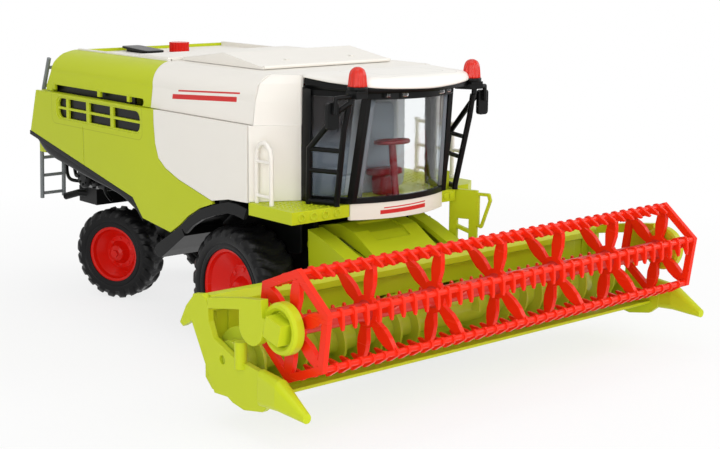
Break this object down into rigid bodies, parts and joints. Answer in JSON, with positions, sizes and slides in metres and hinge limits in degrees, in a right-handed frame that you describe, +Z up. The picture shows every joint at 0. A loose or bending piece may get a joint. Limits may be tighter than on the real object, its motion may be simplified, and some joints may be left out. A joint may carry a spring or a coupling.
{
  "type": "toy combine harvester",
  "caption": "Toy combine harvester with a lifting header, tined hexagonal reel, feed auger, steered rear wheels, cab with glazing and an opening grain tank lid.",
  "frame": {"origin": "on the ground, middle of the footprint", "axes": "+X forward (travel direction), +Y to the machine's left, +Z up"},
  "size_m": [0.4279, 0.3318, 0.1876],
  "materials": {
    "black_plastic": "matte",
    "tyre_rubber": "matte",
    "red_plastic": "gloss",
    "green_plastic": "satin",
    "white_plastic": "satin",
    "grey_plastic": "satin",
    "clear_plastic": "gloss",
    "red_clear_plastic": "gloss"
  },
  "bodies": {
    "machine": {"chassis": "black_plastic", "front_axle": "black_plastic", "rear_axle": "black_plastic", "panel_green_right": "green_plastic", "panel_green_left": "green_plastic", "panel_white_right": "white_plastic", "panel_white_left": "white_plastic", "skirts": "black_plastic", "vent_backs": "black_plastic", "fenders": "black_plastic", "hood": "green_plastic", "top_shell": "white_plastic", "corner_right": "white_plastic", "corner_left": "white_plastic", "steering_knob": "red_plastic", "deck_intake": "black_plastic", "rear_wall": "green_plastic", "rear_ladder": "grey_plastic", "spreader": "black_plastic", "tow_hitch": "black_plastic", "platform_right": "green_plastic", "platform_left": "green_plastic", "front_band": "white_plastic", "cab_floor": "green_plastic", "handrail_right": "white_plastic", "handrail_left": "white_plastic", "cab_frame": "black_plastic", "windscreen": "clear_plastic", "side_windows": "clear_plastic", "cab_back": "grey_plastic", "seat": "red_plastic", "steering_console": "red_plastic", "cab_roof": "white_plastic", "mirror_brackets": "black_plastic", "beacons": "red_clear_plastic", "window_guards": "black_plastic", "deck": "white_plastic", "landing_walls": "white_plastic"},
    "wheel_front_right": {"tyre_front_right": "tyre_rubber", "rim_front_right": "red_plastic"},
    "wheel_front_left": {"tyre_front_left": "tyre_rubber", "rim_front_left": "red_plastic"},
    "steer_right": {"knuckle_right": "black_plastic"},
    "steer_left": {"knuckle_left": "black_plastic"},
    "wheel_rear_right": {"tyre_rear_right": "tyre_rubber", "rim_rear_right": "red_plastic"},
    "wheel_rear_left": {"tyre_rear_left": "tyre_rubber", "rim_rear_left": "red_plastic"},
    "header": {"feeder_house": "green_plastic", "header_trough": "green_plastic", "end_plates": "green_plastic", "reel_arms": "green_plastic"},
    "auger_rotor": {"auger": "green_plastic"},
    "reel_rotor": {"reel": "red_plastic"},
    "lid": {"tank_lid": "white_plastic"}
  },
  "joints": [
    {"name": "wheel_front_right_spin", "type": "hinge", "parent": "machine", "child": "wheel_front_right", "pos_m": [0.027, -0.0636, 0.0415], "axis": [0, 1, 0], "continuous": true},
    {"name": "wheel_front_left_spin", "type": "hinge", "parent": "machine", "child": "wheel_front_left", "pos_m": [0.027, 0.0636, 0.0415], "axis": [0, 1, 0], "continuous": true},
    {"name": "steer_right_turn", "type": "hinge", "parent": "machine", "child": "steer_right", "pos_m": [-0.1535, -0.0345, 0.0332], "axis": [0, 0, 1], "range_deg": [-48, 0]},
    {"name": "steer_left_turn", "type": "hinge", "parent": "machine", "child": "steer_left", "pos_m": [-0.1535, 0.0345, 0.0332], "axis": [0, 0, 1], "range_deg": [-48, 0]},
    {"name": "wheel_rear_right_spin", "type": "hinge", "parent": "steer_right", "child": "wheel_rear_right", "pos_m": [-0.14781, -0.04729, 0.0332], "axis": [-0.4067, 0.9135, 0], "continuous": true},
    {"name": "wheel_rear_left_spin", "type": "hinge", "parent": "steer_left", "child": "wheel_rear_left", "pos_m": [-0.15919, 0.04729, 0.0332], "axis": [-0.4067, 0.9135, 0], "continuous": true},
    {"name": "header_lift", "type": "hinge", "parent": "machine", "child": "header", "pos_m": [0.06, 0, 0.072], "axis": [0, -1, 0], "range_deg": [-4, 8]},
    {"name": "auger_spin", "type": "hinge", "parent": "header", "child": "auger_rotor", "pos_m": [0.138, 0, 0.039], "axis": [0, 1, 0], "continuous": true},
    {"name": "reel_spin", "type": "hinge", "parent": "header", "child": "reel_rotor", "pos_m": [0.184, 0, 0.065], "axis": [0, 1, 0], "continuous": true},
    {"name": "tank_lid_open", "type": "hinge", "parent": "machine", "child": "lid", "pos_m": [0.032, 0, 0.1805], "axis": [0, 1, 0], "range_deg": [0, 95]}
  ],
  "couplings": [
    {"joint": "steer_left_turn", "follows": "steer_right_turn", "ratio": 1}
  ]
}
